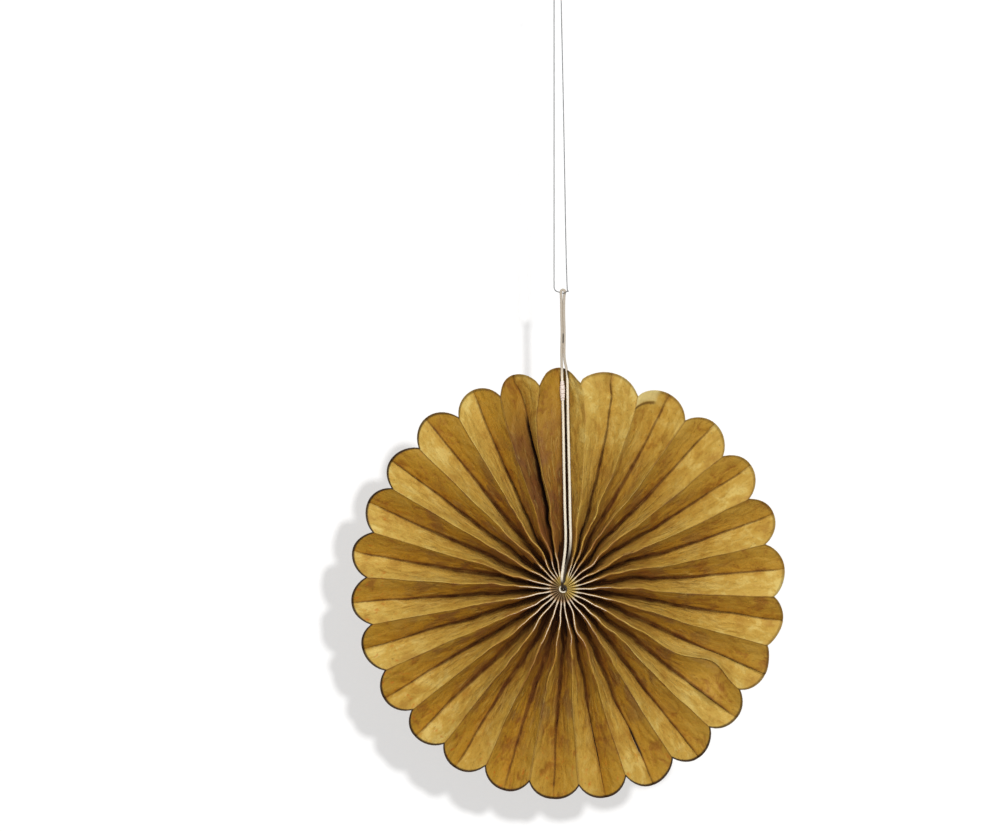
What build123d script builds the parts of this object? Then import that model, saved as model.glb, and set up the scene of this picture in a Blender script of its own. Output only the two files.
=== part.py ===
from build123d import *
import math
import os

# Paper fan medallion: one strip of paper folded into pleats and gathered into a disc,
# hung on a doubled string that hangs on a thin clear thread.
# The hub centre is the origin, +Z is up and the front faces -Y. All sizes in millimetres.

# Folded paper
fan_radius = 100.0          # hub centre to the tips of the scallops
scallop_count = 26          # one valley fold under each scallop, one ridge between two
scallop_depth = 6.8         # tip to notch, measured along the radius
rim_fold_depth = 8.9        # front ridges to back valleys at the rim
paper_thickness = 0.25
lap_width = 10.0            # glued overlap of the two ends of the strip, on one panel
lap_inner_radius = 14.0     # the overlap stops here, where the pleats leave it no room
lap_margin = 0.5            # from the edge of the overlap to the valley fold
station_power = 1.7         # how much closer the sections of the panels lie at the hub

# Thread ring that gathers the inner ends of the pleats
tie_diameter = 0.9
tie_hole_radius = 1.2
tie_clearance = 0.1         # between the thread ring and the ends of the pleats

# Doubled cotton string, hooked through the thread ring
string_diameter = 1.2
string_gap = 0.2            # between the string and what it passes
slot_length = 9.0           # parted inner ends where the string comes out, from the hub up

# Knot that joins the two ends of the string, in the left strand
string_knot_length = 9.0
string_knot_width = 2.6
string_knot_place = 0.56    # where its middle lies, as a share of the run that it sits in

# Clear thread and its knot
thread_diameter = 0.45
thread_knot_width = 1.3

# Share of the shorter of two runs that an arc of a cord takes
arc_share = 0.45

# Values that follow from the sizes above
pitch_angle = 360.0 / scallop_count
half_pitch = math.radians(pitch_angle / 2)
spread = math.tan(half_pitch)
panel_width = math.hypot(fan_radius * spread, rim_fold_depth)
tie_ring_radius = tie_hole_radius + tie_diameter / 2
packed_radius = 2 * scallop_count * paper_thickness / (2 * math.pi)
hub_radius = max(tie_hole_radius + tie_diameter + tie_clearance, 1.05 * packed_radius)
front_y = -(panel_width + paper_thickness) / 2
tie_y = front_y + tie_diameter / 2
hook_radius = tie_diameter / 2 + string_gap + string_diameter / 2

# Route of the string: round the tie, up the right strand, over the thread, down the left.
# It starts and ends in the knot, which sits in the run from below_knot to above_knot.
below_knot = (0.07, -1.50, 80.0)
above_knot = (-0.45, 1.60, 101.0)
string_points = [
    below_knot,
    (0.75, -7.60, 38.0),
    (1.15, -8.40, 26.0),
    (0.50, -8.45, 18.5),
    (-1.50, -8.45, 11.0),
    (-0.85, -8.45, 5.2),
    (-0.10, tie_y - hook_radius, tie_ring_radius - hook_radius),
    (0.00, tie_y + hook_radius, tie_ring_radius - hook_radius),
    (0.00, -5.95, 5.6),
    (0.05, -8.45, 9.9),
    (3.30, -8.45, 15.5),
    (3.75, -8.45, 22.5),
    (3.25, -8.30, 33.0),
    (3.00, -5.90, 50.0),
    (2.30, -1.50, 80.0),
    (2.10, 0.60, 95.0),
    (1.60, 1.50, 102.0),
    (1.05, 1.60, 111.0),
    (1.20, 1.60, 119.0),
    (1.00, 1.60, 128.0),
    (1.15, 1.60, 138.0),
    (-1.05, 1.60, 138.0),
    (-0.90, 1.60, 127.0),
    (-0.95, 1.60, 118.0),
    (-0.30, 1.60, 110.0),
    above_knot,
]

# Route of the clear thread: from its knot up the right side, down the left side,
# through the eye of the string from behind and back to the knot.
thread_knot_centre = (2.10, 0.20, 138.0)
thread_points = [
    (1.65, 0.35, 143.0),
    (0.40, 1.00, 217.0),
    (-0.95, 1.60, 281.0),
    (-4.10, 1.60, 281.0),
    (-4.10, 2.40, 138.2),
    (-0.35, 3.10, 137.2),
    (0.45, 0.10, 136.9),
]


def half_gap(r):
    """Half the distance from one ridge to the next, at the distance r from the hub."""
    return r * spread


def fold_depth(r):
    """Depth of a pleat: a panel keeps its width, so it is deeper where it is narrower."""
    return math.sqrt(panel_width ** 2 - half_gap(r) ** 2)


# Pleated paper

def stations(inner, outer, steps=8):
    """Distances from the hub at which a section is drawn, closer together at the hub."""
    return [inner + (outer - inner) * (i / steps) ** station_power for i in range(steps + 1)]


def pleat_section(r):
    """Corners of one valley pleat at the height r, from ridge to ridge, blunt at the folds."""
    gap, depth, t = half_gap(r), fold_depth(r), paper_thickness
    mitre = t * panel_width / (2 * gap)
    across = t * depth / (2 * panel_width)
    along = t * gap / (2 * panel_width)
    right = [
        (0, depth / 2 - mitre),
        (gap - across, -depth / 2 - along),
        (gap, -depth / 2 - t / 2),
        (gap, -depth / 2 + mitre),
        (across, depth / 2 + along),
        (0, depth / 2 + t / 2),
    ]
    left = [(-x, y) for x, y in right[-2:0:-1]]
    return [Vector(x, y, r) for x, y in right + left]


def lap_section(r):
    """Corners of the glued overlap behind the left panel of the top pleat, rooted in that panel."""
    gap, depth, t = half_gap(r), fold_depth(r), paper_thickness
    ridge = Vector(-gap, -depth / 2, r)
    down = Vector(gap, depth, 0) / panel_width
    back = Vector(-depth, gap, 0) / panel_width
    near, far = panel_width - lap_margin - lap_width, panel_width - lap_margin
    corners = [(near, 0), (far, 0), (far, 1.5 * t), (near, 1.5 * t)]
    return [ridge + down * s + back * h for s, h in corners]


def flat_faces(inner, outer):
    """Flat triangles between two sections. Each side of the paper bends on a line from its
    valley edge out to its ridge edge, because paper bends but does not stretch."""
    count = len(inner)
    for i in range(count):
        k = (i + 1) % count
        a, b, c, d = inner[i], inner[k], outer[k], outer[i]
        first, second = ((a, b, c), (a, c, d)) if a.Y > b.Y else ((a, b, d), (b, c, d))
        yield Face(Wire.make_polygon(first, close=True))
        yield Face(Wire.make_polygon(second, close=True))


def faceted(sections):
    """A closed body of flat triangles through a list of sections."""
    faces = [f for inner, outer in zip(sections, sections[1:]) for f in flat_faces(inner, outer)]
    caps = [Face(Wire.make_polygon(section, close=True)) for section in (sections[0], sections[-1])]
    return Solid(Shell(faces + caps))


def rim_cutter():
    """What the scallop leaves of a pleat: an arc through notch, tip and notch."""
    notch_r = fan_radius - scallop_depth
    notch = (notch_r * math.sin(half_pitch), notch_r * math.cos(half_pitch))
    rise = fan_radius - notch[1]
    arc_radius = (notch[0] ** 2 + rise ** 2) / (2 * rise)
    shoulder = fan_radius - arc_radius
    half_width = max(arc_radius, 1.2 * half_gap(fan_radius))
    disc = Plane.XZ * Pos(0, shoulder) * Circle(arc_radius)
    body = Plane.XZ * Pos(0, shoulder / 2) * Rectangle(2 * half_width, shoulder)
    return extrude(disc + body, amount=panel_width, both=True)


def on_ridge_plane(face):
    """True for the cut faces that lie on the plane through a ridge and the hub's axis."""
    centre = face.center()
    return abs(abs(centre.X) - centre.Z * spread) < paper_thickness / 100


def string_slot():
    """The parted inner ends above the hub, where the rear strand comes out."""
    width = string_diameter + 2 * string_gap
    depth = tie_y + hook_radius + width / 2 - 2 * front_y
    return Pos(0, 2 * front_y + depth / 2, slot_length / 2) * Box(width, depth, slot_length)


def make_paper():
    outer = fan_radius + 1.0
    rim = rim_cutter()
    pleat = faceted([pleat_section(r) for r in stations(0.9 * hub_radius, outer)])
    pleat = pleat & rim
    pleat = pleat - extrude(Plane.XZ * Circle(hub_radius), amount=panel_width, both=True)
    kept = [f for f in pleat.faces() if not on_ridge_plane(f)]
    turned = [f.rotate(Axis.Y, k * pitch_angle) for k in range(scallop_count) for f in kept]
    sheet = Solid(Shell(turned))
    lap = faceted([lap_section(r) for r in stations(lap_inner_radius, outer)])
    return sheet + (lap & rim) - string_slot()


# Thread, string and knots

def make_tie():
    return Pos(0, tie_y, 0) * Rot(90, 0, 0) * Torus(tie_ring_radius, tie_diameter / 2)


def along(start, end, distance):
    """The point at a distance from start on the way to end."""
    a, b = Vector(start), Vector(end)
    return a + (b - a).normalized() * distance


def tube(name, points, diameter):
    """A round cord on straight runs joined by arcs as large as the runs allow."""
    p = [Vector(q) for q in points]
    radii = []
    for before, here, after in zip(p, p[1:], p[2:]):
        into, out = here - before, after - here
        turn = math.radians(into.get_angle(out))
        radii.append(arc_share * min(into.length, out.length) / math.tan(turn / 2))
    route = FilletPolyline(*p, radius=radii)
    section = Plane(origin=route @ 0, z_dir=route % 0) * Circle(diameter / 2)
    cord = sweep(section, path=route)
    expected = math.pi * diameter ** 2 / 4 * route.length
    print(name, "length", round(route.length, 2), "volume", round(cord.volume, 3), "section x length", round(expected, 3))
    print(name, "radii", [round(r, 2) for r in radii])
    return cord


def knot_ends():
    """Where the string goes into the lower and the upper end of its knot."""
    middle = string_knot_place * (Vector(above_knot) - Vector(below_knot)).length
    half = string_knot_length / 2
    return along(below_knot, above_knot, middle - half), along(below_knot, above_knot, middle + half)


def make_string_knot():
    """A barrel with flat ends that the string meets square on."""
    lower, upper = knot_ends()
    mouth, belly = string_diameter / 2 + 0.1, string_knot_width / 2
    side = ThreePointArc((mouth, 0), (belly, string_knot_length / 2), (mouth, string_knot_length))
    outline = side + Polyline((mouth, string_knot_length), (0, string_knot_length), (0, 0), (mouth, 0))
    barrel = revolve(Plane.XZ * make_face(outline), axis=Axis.Z)
    return Plane(origin=lower, z_dir=upper - lower) * barrel


def thread_seats():
    """Where the thread meets the flats of its knot: at its start above and its end at the left."""
    reach = 0.8 * thread_knot_width / 2
    return along(thread_knot_centre, thread_points[0], reach), along(thread_knot_centre, thread_points[-1], reach)


def make_thread_knot():
    """A bead with a flat at each end of the thread."""
    knot = Pos(*thread_knot_centre) * Sphere(thread_knot_width / 2)
    for seat in thread_seats():
        cut = Plane(origin=seat, z_dir=seat - Vector(thread_knot_centre))
        knot = knot - cut * Box(thread_knot_width, thread_knot_width, thread_knot_width, align=(Align.CENTER, Align.CENTER, Align.MIN))
    return knot


lower_end, upper_end = knot_ends()
first_seat, last_seat = thread_seats()
string_route = [lower_end] + string_points + [upper_end]
thread_route = [first_seat] + thread_points + [last_seat]

parts = {
    "pleated_paper": make_paper(),
    "hub_tie": make_tie(),
    "hanging_string": tube("hanging_string", string_route, string_diameter),
    "string_knot": make_string_knot(),
    "hanging_thread": tube("hanging_thread", thread_route, thread_diameter),
    "thread_knot": make_thread_knot(),
}

os.makedirs("parts", exist_ok=True)
for name, solid in parts.items():
    export_step(solid, f"parts/{name}.step")
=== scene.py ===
import math
import random

import bpy
from mathutils import Matrix, Vector, noise


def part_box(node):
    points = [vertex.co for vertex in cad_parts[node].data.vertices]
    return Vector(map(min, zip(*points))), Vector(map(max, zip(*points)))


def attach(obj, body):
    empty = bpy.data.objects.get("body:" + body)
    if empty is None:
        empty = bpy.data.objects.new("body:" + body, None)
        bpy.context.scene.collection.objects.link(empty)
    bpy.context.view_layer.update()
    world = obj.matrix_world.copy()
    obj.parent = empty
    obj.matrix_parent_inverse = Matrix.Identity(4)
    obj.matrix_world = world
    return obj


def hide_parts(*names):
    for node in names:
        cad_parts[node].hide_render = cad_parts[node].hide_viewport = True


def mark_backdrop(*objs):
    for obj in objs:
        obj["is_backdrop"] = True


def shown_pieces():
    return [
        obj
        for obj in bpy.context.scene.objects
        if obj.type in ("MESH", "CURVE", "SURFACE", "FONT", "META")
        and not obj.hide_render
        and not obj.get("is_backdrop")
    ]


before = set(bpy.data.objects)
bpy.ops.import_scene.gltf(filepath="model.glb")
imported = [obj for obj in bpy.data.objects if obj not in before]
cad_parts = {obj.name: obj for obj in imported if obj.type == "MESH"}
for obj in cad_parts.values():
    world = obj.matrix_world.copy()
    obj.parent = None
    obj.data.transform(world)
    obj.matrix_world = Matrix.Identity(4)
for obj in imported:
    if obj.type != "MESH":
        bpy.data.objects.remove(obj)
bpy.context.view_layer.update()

bl_info = {
    "name": "Paper fan medallion",
    "version": (1, 0, 0),
    "blender": (4, 5, 0),
    "location": "3D View > Sidebar > Medallion",
    "description": "Builds a pleated paper medallion on its string and clear thread, with a plain stage",
    "category": "Add Mesh",
}

MM = 0.001

# The box of the solids, which gives the sizes of the rim, the folds and the tie
PAPER_LOW, PAPER_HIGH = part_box("pleated_paper")
RIM_RADIUS = PAPER_HIGH.z
FOLD_DEPTH = PAPER_HIGH.y - PAPER_LOW.y
TIE_LOW, TIE_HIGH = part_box("hub_tie")
TIE_DIAMETER = TIE_HIGH.y - TIE_LOW.y
TIE_RADIUS = TIE_HIGH.x - TIE_DIAMETER / 2

# Routes of the two cords in millimetres, in the order of the real run
STRING_POINTS = [
    (0.07, -1.50, 80.0), (0.75, -7.60, 38.0), (1.25, -8.40, 26.0), (1.05, -8.40, 18.5),
    (0.10, -8.30, 11.0), (-0.75, -8.45, 5.2), (-0.10, -8.45, 0.4), (0.00, -5.95, 0.4),
    (0.20, -5.60, 4.5), (1.10, -4.80, 9.9), (2.90, -5.60, 15.5), (3.60, -7.60, 22.5),
    (3.25, -8.30, 33.0), (3.00, -5.90, 50.0), (2.30, -1.50, 80.0), (2.15, 0.60, 95.0),
    (1.95, 1.20, 101.0), (0.55, 1.40, 106.5), (0.62, 1.40, 113.0), (0.72, 1.40, 119.0),
    (0.42, 1.45, 127.0), (0.50, 1.45, 135.4), (1.15, 1.55, 138.6), (-1.10, 1.60, 138.6),
    (-0.74, 1.72, 135.4), (-0.66, 1.75, 127.0),
    (-0.45, 1.75, 119.0), (-0.62, 1.75, 112.0), (-0.62, 1.70, 106.0), (-0.45, 1.60, 101.0),
]
THREAD_POINTS = [
    (1.65, 0.35, 143.0), (0.40, 1.00, 217.0), (-0.90, 1.58, 277.8), (-0.95, 1.60, 281.0),
    (-4.10, 1.60, 281.0), (-4.10, 1.62, 277.8), (-4.10, 2.38, 142.1), (-4.10, 2.40, 138.2),
    (-0.35, 3.10, 137.2), (0.45, 0.10, 136.9),
]
# Ends of the cords in their knots, and the middle of the thread's knot, in millimetres
KNOT_LOWER = (-0.111, -0.421, 87.310)
KNOT_UPPER = (-0.331, 0.893, 96.210)
THREAD_FIRST = (2.053, 0.216, 138.518)
THREAD_LAST = (1.668, 0.174, 137.712)
THREAD_KNOT = (2.10, 0.20, 138.0)

# Turns of the knot in the string: number, radius of the end turns, of the middle one and of
# their section in millimetres, tilts by turns and the lean of all of them in degrees
KNOT_TURNS = 9
KNOT_END_RADIUS = 0.16
KNOT_MIDDLE_RADIUS = 0.64
KNOT_SECTION = 0.58
KNOT_TILTS = (-13.0, 17.0)
KNOT_LEAN = 9.0
# Turns of the knot in the thread: radius in millimetres and tilt in degrees, from below, the
# radius of their section and the step from one to the next
THREAD_TURNS = ((0.34, 12.0), (0.36, -24.0), (0.30, 70.0))
THREAD_TURN_SECTION = 0.21
THREAD_TURN_STEP = 0.16

# The ring of thread at the hub: shares of the solid's radius and thickness that it keeps, its
# plies, how often they turn, and how far they stand out and the whole sinks in, in millimetres
TIE_SLIMMER = 0.94
TIE_THINNER = 0.88
TIE_PLIES = 3
TIE_PLY_TURNS = 15
TIE_PLY_DEPTH = 0.045
TIE_PLY_SINK = 0.03

# Tips of the scallops lie on a circle that the gathered hub sits a little below and left of
RIM_OFFSET = (2.3, 1.9)
# How far the notches stand from an even spacing: angle clockwise from the top, both in degrees
SPACING = [
    (-7.0, -1.1), (7.0, -4.2), (21.0, -0.4), (35.0, 1.1), (62.0, 2.4), (104.0, 3.4),
    (173.0, 4.2), (215.0, 3.5), (256.0, 2.6), (298.0, 0.8), (339.0, 1.2), (353.0, -1.1),
]
# The top pleat stands open: distance from the hub and sideways place of its two ridges, of the
# inner fold between them, which is fold line 0, and of the inner fold that its left ridge
# leans over. The folds beside them follow a little.
SEAM_LEFT = [
    (0.0, -0.9), (9.0, -1.8), (18.0, -2.7), (28.0, -3.3), (38.0, -4.6),
    (52.0, -9.0), (66.0, -11.6), (80.0, -12.8), (94.0, -11.0),
]
SEAM_RIGHT = [
    (0.0, 0.9), (9.0, 3.2), (18.0, 6.6), (33.0, 8.0), (43.0, 9.0),
    (60.0, 9.8), (78.0, 10.7), (92.0, 9.6), (98.0, 6.9),
]
SEAM_MIDDLE = [(0.0, 0.0), (12.0, 0.7), (25.0, 1.5), (80.0, 1.2), (92.0, 0.3), (100.0, -1.6)]
SEAM_BESIDE = [
    (0.0, -1.2), (18.0, -3.8), (28.0, -4.7), (38.0, -6.0), (52.0, -10.3),
    (66.0, -14.0), (80.0, -17.4), (90.0, -20.4), (98.0, -23.2),
]
SEAMS = {-2: SEAM_BESIDE, -1: SEAM_LEFT, 0: SEAM_MIDDLE, 1: SEAM_RIGHT}
SEAM_REACH = 5
# Single pleats that differ: folds that sway aside (how far, round which distance, over what
# length), ridges whose notch is pointed, panels that hang over their inner fold between two
# distances, curled tips
SWAYS = {17: (-5.6, 77.0, 11.0)}
POINTED_RIDGES = {13: 2.6, 15: 2.8}
OVERHANGS = {50: (0.7, 14.0, 82.0), 22: (1.1, 54.0, 92.0), 24: (1.2, 48.0, 92.0), 48: (0.8, 20.0, 60.0)}
CURLED_TIPS = {3: 2.6, 14: 1.2, 15: 1.6}
# Panels whose tone is known: 0 dark gold in painted shade, 1 pale in painted light, below 0 brown in painted
# shade
TONES = {
    47: 1.0, 48: 0.05, 49: -0.33, 50: 0.6, 51: -0.22, 0: 0.75, 1: 0.95, 2: 0.85, 3: 0.5,
    18: 1.0, 19: 0.2,
}
# Deep slits with painted shade: fold line, start and end as shares of 100 mm from the hub, reach
# to the left and to the right, where the slit has a pale edge of painted highlight
SHADED_SLITS = (
    (50, 0.32, 0.85, 0.15, 0.04), (24, 0.68, 0.86, 0.08, 0.02), (22, 0.74, 0.90, 0.10, 0.02),
)
# Turn of the folds near the hub against the rim, in radians, and the way that has none of it,
# in degrees clockwise from the top
TWIST = 0.05
STRAIGHT_WAY = 290.0
# Way up that the panels with painted light face, slightly to the right
UPWARD = (0.2, 0.98)

# Steps across a panel: the round at its inner fold, the panel itself and the round at its
# ridge, and how far across the paper each of them lies
FOLD_STEPS = 2
FLAT_STEPS = 8
RIDGE_STEPS = 3
PANEL_STEPS = FOLD_STEPS + FLAT_STEPS + RIDGE_STEPS
PAPER_FRACTIONS = [0.0, 0.006, 0.012, 0.13, 0.25, 0.37, 0.5, 0.62, 0.74, 0.86, 0.965, 0.977, 0.988, 1.0]
# Rows lie closer together at the hub
ROW_POWER = 1.15
# Glued overlap: steps, share of the panel that it covers, and how far it lies aside of the
# panel and behind it, in millimetres
LAP_STEPS = 8
LAP_SHARE = 0.66
LAP_BEHIND = 0.21
# Distances from the hub in millimetres, within which the gathered ends are less deep, and
# within which the gap from an inner fold to a ridge is the plain distance between the two
GATHERED_RADIUS = 7.0
CROWDED_RADIUS = 12.0

# What 1 stands for in the paper's own map, in millimetres: across the panels and out from the hub
PANEL_MM = 15.05
OUTWARD_MM = 100.0

# Colours of single places, in linear values
PANEL_SHADE_BROWN = (0.175, 0.066, 0.018)
PURPLE_SHADE_BROWN = (0.18, 0.07, 0.03)
HUB_SHADED_GREY_BROWN = (0.15, 0.085, 0.032)
HUB_LIT_YELLOW = (0.52, 0.36, 0.075)
YELLOW_RIDGE_HIGHLIGHT = (0.86, 0.77, 0.58)
SLIT_HIGHLIGHT = (0.86, 0.62, 0.32)
FLAP_HIGHLIGHT = (0.74, 0.60, 0.24)
LOOSE_FIBRE = (0.92, 0.88, 0.80)
COTTON_SHADE = (0.03, 0.017, 0.007)
KNOT_SHADE = (0.62, 0.50, 0.42)
THREAD_GRAIN = (0.24, 0.25, 0.26)

# Ways that the lamps shine
KEY_WAY = (-0.16, 0.77, -0.62)
FRONT_WAY = (-0.04, 0.99, -0.10)
BACK_WAY = (0.35, -0.80, -0.45)
SHADOW_WAY = (-15.6, 55.5, -13.8)

# Backdrop and floor, in metres, and the camera's film in millimetres
WALL_SIZE = 6.0
WALL_HEIGHT = 2.6
FLOOR_SIZE = 8.0
FILM_WIDTH = 36.0


def follow(points, x):
    """Straight-line reading of a short list of (x, y) points."""
    if x <= points[0][0]:
        return points[0][1]
    for (x0, y0), (x1, y1) in zip(points, points[1:]):
        if x <= x1:
            return y0 + (y1 - y0) * (x - x0) / (x1 - x0)
    return points[-1][1]


def mix(a, b, t):
    return a + (b - a) * t


def smooth(a, b, x):
    t = min(1.0, max(0.0, (x - a) / (b - a)))
    return t * t * (3 - 2 * t)


# Settings in the sidebar

def colour_property(name, description, default):
    """A colour that a user picks; its default is written as it looks on a screen."""
    linear = tuple(((c / 255 + 0.055) / 1.055) ** 2.4 if c > 10 else c / 255 / 12.92 for c in default)
    return bpy.props.FloatVectorProperty(
        name=name, description=description, default=linear, size=3, min=0.0, max=1.0, subtype="COLOR",
    )


def length_property(name, description, default_mm, least_mm=0.0):
    return bpy.props.FloatProperty(
        name=name, description=description, default=default_mm * MM, min=least_mm * MM,
        precision=5, unit="LENGTH", subtype="DISTANCE",
    )


def place_property(name, description, default_mm):
    return bpy.props.FloatProperty(
        name=name, description=description, default=default_mm * MM, precision=5, unit="LENGTH",
    )


def angle_property(name, description, degrees):
    return bpy.props.FloatProperty(
        name=name, description=description, default=math.radians(degrees),
        min=0.0, max=math.radians(90.0), unit="ROTATION", subtype="ANGLE",
    )


def strength_property(name, description, default):
    return bpy.props.FloatProperty(name=name, description=description, default=default, min=0.0)


def count_property(name, description, default, least, most):
    return bpy.props.IntProperty(name=name, description=description, default=default, min=least, max=most)


class PaperSettings(bpy.types.PropertyGroup):
    """Sizes and colours of the pleated paper."""
    scallops: count_property("Scallops", "Number of scallops round the rim", 26, 8, 60)
    scallop_depth: length_property("Scallop depth", "From the tip of a scallop down to the notch", 6.8, 0.5)
    thickness: length_property("Thickness", "Thickness of the paper", 0.25, 0.05)
    hub_radius: length_property("Hub radius", "Where the inner ends of the pleats stop", 2.25, 0.5)
    waves: length_property("Waves", "How far the folds wander sideways half way out", 0.85)
    bow: length_property("Bow", "How far a panel bulges between its folds", 0.75)
    seed: count_property("Seed", "Start value of the unevenness", 7, 0, 1000)
    # Painted light: pale gold of the panels that face up
    painted_light_gold: colour_property("Faded gold", "Panels that face up and have faded", (198, 163, 76))
    gold: colour_property("Gold", "Main colour of the paper", (178, 133, 38))
    # Random clouds, and painted shade on the panels that face down
    brown_gold: colour_property("Brown gold", "Darkest clouds in the paper", (146, 94, 28))
    # Random clouds, painted light on the panels that face up, and painted highlights beside fine creases
    light_gold: colour_property("Light gold", "Lightest clouds in the paper", (216, 190, 108))
    # Painted shade: brown towards the hub and beside the inner folds
    hub_shade_brown: colour_property("Hub brown", "Brown tone towards the hub", (142, 85, 38))
    # Real dark specks, and the painted shade in creases, beside ridges and where a tip bends
    speck_and_crease_shade: colour_property("Crease brown", "Line along the inner folds", (68, 36, 8))
    hub_shade: colour_property("Hub shade", "Dark inside of the folds at the hub", (30, 12, 4))
    # Worn fold edges with a painted highlight on them
    worn_ridge_highlight: colour_property("Worn ridge", "Rubbed line along the outer folds", (242, 230, 206))
    fleck: colour_property("Fleck", "Small orange fibres", (188, 104, 26))


class CordSettings(bpy.types.PropertyGroup):
    """Sizes and colours of the string, the clear thread and their knots."""
    string_diameter: length_property("String diameter", "Thickness of the cotton string", 1.2, 0.3)
    thread_diameter: length_property("Thread diameter", "Thickness of the clear thread", 0.45, 0.1)
    string_colour: colour_property("String", "Main colour of the cotton", (240, 230, 208))
    string_shade: colour_property("String shade", "Colour between the plies of the cotton", (186, 160, 128))
    knot_colour: colour_property("Knot", "Colour of the knot in the string", (244, 230, 220))
    weathered: colour_property("Weathered string", "Greyer cotton above the paper", (184, 174, 160))
    thread_colour: colour_property("Clear thread", "Tint of the clear thread", (74, 75, 76))


class StageSettings(bpy.types.PropertyGroup):
    """Backdrop, lamps and camera."""
    wall_gap: length_property("Wall gap", "From the hub to the backdrop", 60.0, 9.0)
    floor_drop: length_property("Floor drop", "From the hub down to the floor", 420.0, 110.0)
    wall_colour: colour_property("Backdrop", "Colour of the backdrop and floor", (175, 175, 175))
    wall_glow: strength_property("Backdrop glow", "Light that backdrop and floor show by themselves", 0.575)
    shadow_strength: strength_property("Shadow light", "Strength of the lamp that casts the shadow", 2.6)
    key_strength: strength_property("Key light", "Strength of the light from above", 0.85)
    front_strength: strength_property("Front light", "Strength of the light from the front", 1.75)
    back_strength: strength_property("Back light", "Strength of the light on the back", 1.3)
    fill_strength: strength_property("Fill light", "Strength of the even light", 0.42)
    key_softness: angle_property("Key softness", "Angle that the light from above fills", 9.0)
    front_softness: angle_property("Front softness", "Angle that the light from the front fills", 14.0)
    back_softness: angle_property("Back softness", "Angle that the light on the back fills", 25.0)
    shadow_softness: angle_property("Shadow softness", "Angle that the shadow's light fills", 3.6)
    distance: length_property("Camera distance", "From the camera to the plane of the hub", 3000.0, 100.0)
    view_width: length_property("View width", "Width of the picture at the plane of the hub", 464.0, 10.0)
    centre_x: place_property("Centre X", "Sideways place of the picture's centre", -29.2)
    centre_z: place_property("Centre Z", "Height of the picture's centre", 80.05)


# Selection, modifiers and nodes

def only(obj):
    """Makes obj the only selected object and the active one."""
    for other in bpy.context.selected_objects:
        other.select_set(False)
    obj.select_set(True)
    bpy.context.view_layer.objects.active = obj
    return obj


def apply_modifiers(obj):
    only(obj)
    for modifier in list(obj.modifiers):
        bpy.ops.object.modifier_apply(modifier=modifier.name)


def joined(turns, name):
    """The turns of a knot as one smooth object."""
    only(turns[0])
    for turn in turns:
        turn.select_set(True)
    bpy.ops.object.join()
    knot = bpy.context.object
    knot.name = name
    bpy.ops.object.shade_smooth()
    return knot


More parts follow.
